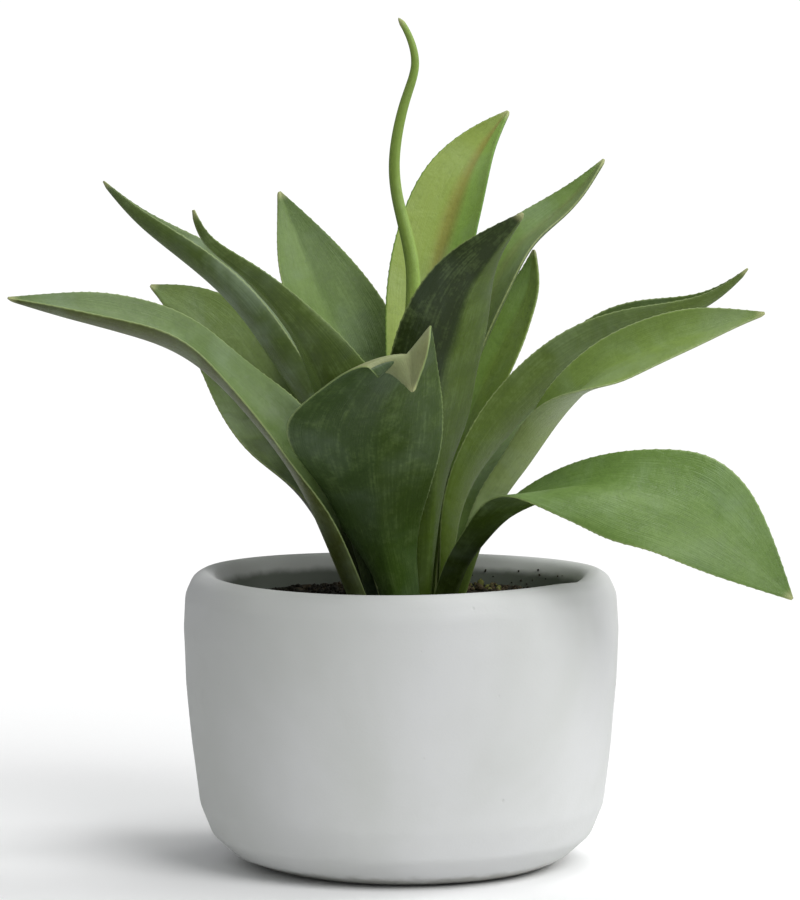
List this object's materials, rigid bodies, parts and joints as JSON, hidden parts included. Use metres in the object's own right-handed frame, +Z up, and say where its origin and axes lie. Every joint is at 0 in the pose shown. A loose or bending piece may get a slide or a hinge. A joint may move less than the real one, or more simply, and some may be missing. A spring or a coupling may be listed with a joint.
{
  "type": "potted agave",
  "caption": "Small potted agave: a loose rosette of fleshy pointed leaves with one thin unopened centre leaf, growing from dark soil in a round thick-walled concrete pot.",
  "frame": {"origin": "centre of the pot's flat underside, on the table", "axes": "+Z up along the pot's axis, +X to the viewer's right, -Y towards the viewer"},
  "size_m": [0.2274, 0.1644, 0.2545],
  "materials": {
    "pot_concrete": "matte, cast and lightly rubbed",
    "potting_soil": "loose crumbs of bark and peat",
    "leaf_green": "satin waxy skin, paler thin margins",
    "young_leaf": "satin waxy skin, yellow-green"
  },
  "bodies": {
    "root": {"pot": "pot_concrete", "soil": "potting_soil", "crown_stem": "leaf_green", "spear_leaf": "young_leaf", "leaf_front_folded": "leaf_green", "leaf_left_low": "leaf_green", "leaf_right_drooping": "leaf_green", "leaf_front_left": "leaf_green", "leaf_front_right": "leaf_green", "leaf_right_middle": "leaf_green", "leaf_right_upper": "leaf_green", "leaf_left_upper": "leaf_green", "leaf_back_left_low": "leaf_green", "leaf_back_left": "leaf_green", "leaf_back_tall": "leaf_green", "leaf_right_back": "leaf_green", "leaf_back_right": "leaf_green", "leaf_rear": "leaf_green", "leaf_rear_left": "leaf_green", "leaf_rear_right": "leaf_green"}
  },
  "joints": []
}
